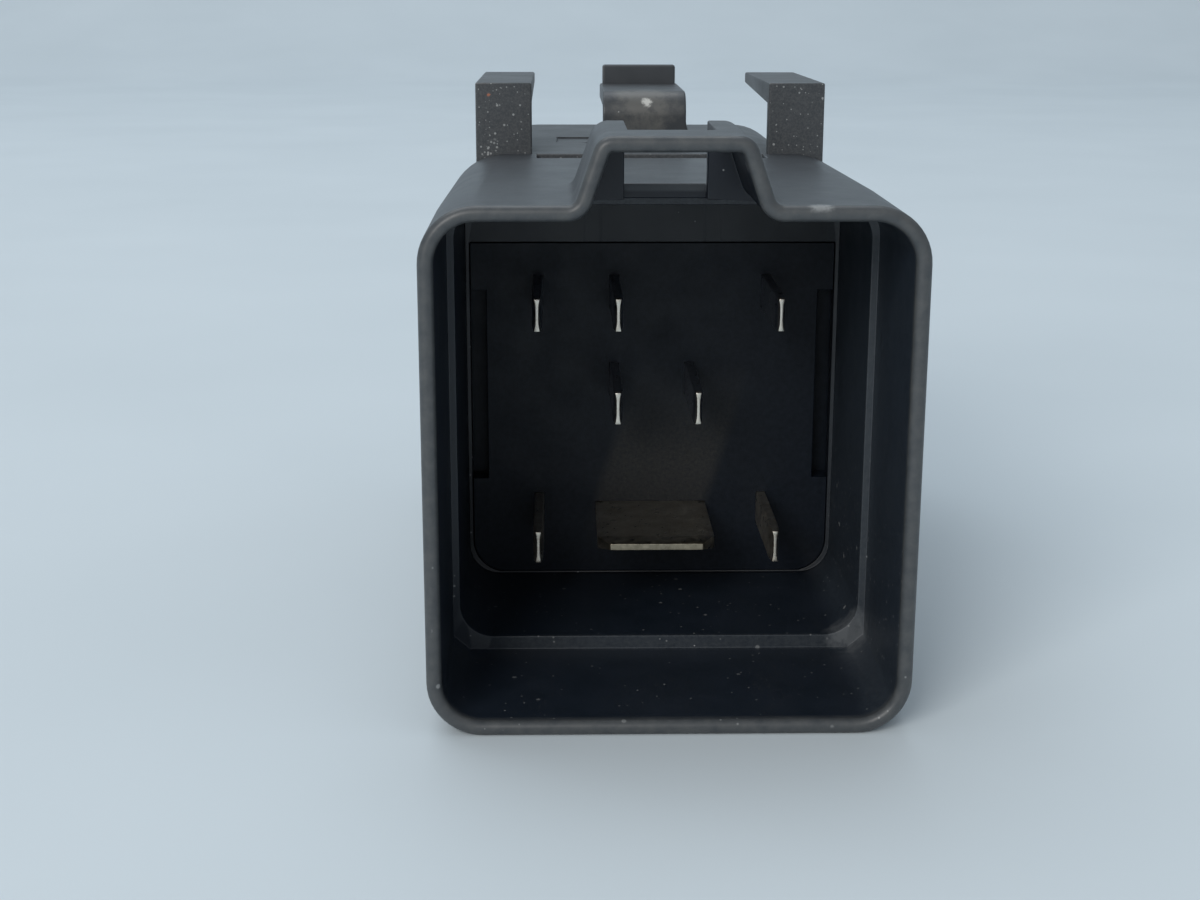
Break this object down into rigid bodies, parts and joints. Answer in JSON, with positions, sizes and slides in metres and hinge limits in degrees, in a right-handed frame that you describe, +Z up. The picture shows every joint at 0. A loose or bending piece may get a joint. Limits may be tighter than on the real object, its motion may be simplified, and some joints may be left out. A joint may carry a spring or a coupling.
{
  "type": "automotive relay",
  "caption": "Plug-in automotive relay: a keyed shroud round blade terminals, a rear cover with hook rails and a spring latch, and a hinged-armature relay with a timer board inside.",
  "frame": {"origin": "bottom centre of the whole part, on the flat side it lies on", "axes": "+Z up from the flat side to the hooks, +Y from the open shroud to the closed back, +X to the right as seen from the open shroud"},
  "size_m": [0.0348, 0.07, 0.0444],
  "materials": {
    "shroud_plastic": "black glass-filled plastic, semi-gloss, lightly dusty",
    "cover_plastic": "black glass-filled plastic, semi-gloss, scuffed at the latch",
    "plate_plastic": "black plastic, glossy with a fine grain",
    "blade_tin": "tin-plated brass, dull",
    "relay_iron": "bright zinc-plated soft iron",
    "spring_steel": "drawn spring wire",
    "copper_wire": "enamelled copper winding",
    "contact_copper": "bare copper alloy strip",
    "contact_silver": "silver alloy, satin",
    "bobbin_plastic": "natural nylon",
    "board_laminate": "glass-epoxy laminate with solder mask",
    "component_black": "moulded epoxy",
    "capacitor_sleeve": "sleeved aluminium can",
    "resistor_body": "lacquered resistor body"
  },
  "bodies": {
    "housing": {"connector_shroud": "shroud_plastic", "rear_cover": "cover_plastic", "base_plate": "plate_plastic", "terminal_1": "blade_tin", "terminal_2": "blade_tin", "terminal_3": "blade_tin", "terminal_4": "blade_tin", "terminal_5": "blade_tin", "terminal_6": "blade_tin", "terminal_7": "blade_tin", "power_terminal": "blade_tin", "circuit_board": "board_laminate", "yoke": "relay_iron", "core": "relay_iron", "bobbin": "bobbin_plastic", "winding": "copper_wire", "coil_pins": "blade_tin", "return_spring": "spring_steel", "contact_bar": "contact_copper", "fixed_contact": "contact_silver", "timer_chip": "component_black", "storage_capacitor": "capacitor_sleeve", "suppression_diode": "component_black", "resistor_1": "resistor_body", "resistor_2": "resistor_body"},
    "armature_arm": {"armature": "relay_iron", "contact_blade": "contact_copper", "blade_rivets": "relay_iron", "moving_contact": "contact_silver"}
  },
  "joints": [
    {"name": "armature_hinge", "type": "hinge", "parent": "housing", "child": "armature_arm", "pos_m": [0, 0.0268, 0.0059], "axis": [1, 0, 0], "range_deg": [0, 4], "stiffness_Nm_per_rad": 0.006, "springref_deg": -11.46}
  ]
}
